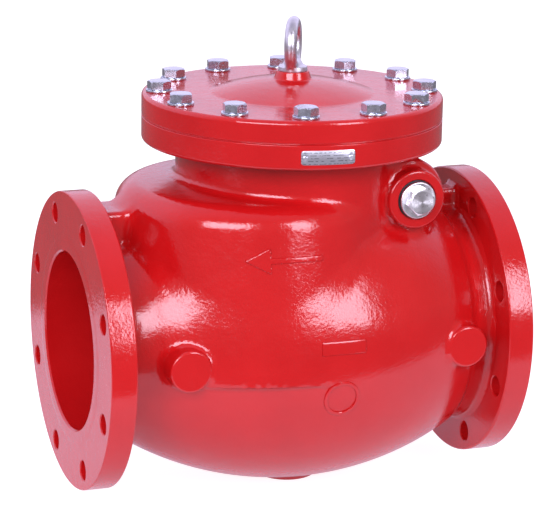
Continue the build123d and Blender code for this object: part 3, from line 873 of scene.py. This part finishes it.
for piece in (body, cover):
    dress(piece, MATERIALS["red_paint"])
dress(eye, MATERIALS["bright_steel"])

# Nodes whose finish isn't the one that their slot names.
OTHER_FINISH = {"cover_gasket": "red_paint", "facing_retainer": "machined_iron",
                "disc": "machined_iron"}
slots = {entry["node"]: entry["material_slot"] for entry in frame["record"]["subparts"]}
for name, node in frame["nodes"].items():
    if name in ("valve_body", "cover", "eye_bolt"):
        continue
    finish = OTHER_FINISH.get(name, slots[name])
    for slot in node.material_slots:
        slot.material = MATERIALS[finish]
    weld = node.modifiers.new("weld", "WELD")
    weld.merge_threshold = 1e-6
    bevel = node.modifiers.new("edges", "BEVEL")
    bevel.width = 0.0004
    bevel.segments = 2
    bevel.limit_method = "ANGLE"
    bevel.angle_limit = math.radians(35)
    bevel.harden_normals = True


# ---------------------------------------------------------------- floor, light and camera

def plain_white(name, value, glow):
    """Matt white floor, with a glow that stands for the white room round it."""
    material, nodes, links, shader = start(name)
    where = position(nodes)
    mottle = ramp(nodes, links, noise(nodes, links, where, 3, 2), 0, 1)
    dimmer = value * 0.99
    links.new(mix_colour(nodes, links, mottle, (value, value, value), (dimmer, dimmer, dimmer)),
              shader.inputs["Base Color"])
    shader.inputs["Roughness"].default_value = 0.9
    shader.inputs["Specular IOR Level"].default_value = 0.0
    shader.inputs["Emission Color"].default_value = (*glow, 1)
    shader.inputs["Emission Strength"].default_value = 1.0
    return material


def floor_sheet(name, low, high, z, material):
    """Flat rectangle."""
    (x0, y0), (x1, y1) = low, high
    sheet = mesh_piece(name, [(x0, y0, z), (x1, y0, z), (x1, y1, z), (x0, y1, z)], [(0, 1, 2, 3)])
    dress(sheet, material)
    return sheet


FLOOR_WHITE = plain_white("floor_white", 0.45, (0.90, 0.90, 0.92))
FLOOR_BOUNCE = plain_white("floor_bounce", 0.55, (0.44, 0.40, 0.52))

# The camera sees the wide floor. The valve is lit by, and mirrors, only the sheet under it.
wide_floor = floor_sheet("floor_wide", (-40, -40), (40, 40), FLOOR_Z - 0.0001, FLOOR_WHITE)
wide_floor.visible_glossy = False
wide_floor.visible_diffuse = False
wide_floor.visible_shadow = False
near_floor = floor_sheet("floor_near", (-1.2, -0.75), (1.7, 0.47), FLOOR_Z - 0.0004, FLOOR_BOUNCE)
near_floor.visible_camera = False

world = bpy.data.worlds.new("studio")
bpy.context.scene.world = world
world.use_nodes = True
nodes, links = world.node_tree.nodes, world.node_tree.links
background = nodes["Background"]
where = nodes.new("ShaderNodeTexCoord").outputs["Generated"]
split = nodes.new("ShaderNodeSeparateXYZ")
links.new(where, split.inputs["Vector"])
FRONT, BACK = (0.36, 0.32, 0.34), (1.12, 1.02, 1.38)
BELOW, OVERHEAD = (0.26, 0.23, 0.26), (0.55, 0.50, 0.66)
behind = ramp(nodes, links, split.outputs["Y"], 1, 0, -0.35, 0.30)
colour = mix_colour(nodes, links, behind, FRONT, BACK)
above_horizon = ramp(nodes, links, split.outputs["Z"], 0, 1, -0.02, 0.10)
colour = mix_colour(nodes, links, above_horizon, BELOW, colour)
up = ramp(nodes, links, split.outputs["Z"], 0, 1, 0.75, 1.0)
colour = mix_colour(nodes, links, up, colour, OVERHEAD)
links.new(colour, background.inputs["Color"])
background.inputs["Strength"].default_value = 1.0


def from_angles(azimuth, elevation):
    """Unit vector towards an azimuth and an elevation, in radians."""
    level = math.cos(elevation)
    return Vector((level * math.cos(azimuth), level * math.sin(azimuth), math.sin(elevation)))


def softbox(name, azimuth, elevation, wide, high, radiance):
    """Rectangular light seen from the valve at an azimuth and elevation, with its size in degrees."""
    target = Vector((0.25, 0, 0.05))
    distance = 3.0
    direction = from_angles(math.radians(azimuth), math.radians(elevation))
    data = bpy.data.lights.new(name, "AREA")
    data.shape = "RECTANGLE"
    data.size = 2 * distance * math.tan(math.radians(wide / 2))
    data.size_y = 2 * distance * math.tan(math.radians(high / 2))
    data.energy = radiance * math.pi * data.size * data.size_y
    data.color = (0.98, 0.92, 1.10)
    light = bpy.data.objects.new(name, data)
    light.location = target + direction * distance
    light.rotation_euler = direction.to_track_quat("Z", "Y").to_euler()
    bpy.context.scene.collection.objects.link(light)


softbox("softbox_right", 113, 23.5, 19, 31, 9.0)
softbox("softbox_left", 50, 26.5, 36, 22, 9.3)

camera_data = bpy.data.cameras.new("camera")
camera = bpy.data.objects.new("camera", camera_data)
bpy.context.scene.collection.objects.link(camera)
bpy.context.scene.camera = camera
camera_data.sensor_width = 36
camera_data.lens = 163.74
yaw, pitch, roll = 1.2126, 0.2554, 0.0177
forward = -from_angles(yaw, pitch)
right = forward.cross(Vector((0, 0, 1))).normalized()
above = right.cross(forward)
right, above = (math.cos(roll) * right + math.sin(roll) * above,
                math.cos(roll) * above - math.sin(roll) * right)
turn = Matrix((right, above, -forward)).transposed()
camera.matrix_world = Matrix.Translation((1.23468, 2.62366, 0.81329)) @ turn.to_4x4()

scene = bpy.context.scene
scene.view_settings.view_transform = "Standard"
scene.view_settings.look = "None"
scene.view_settings.exposure = 0.0
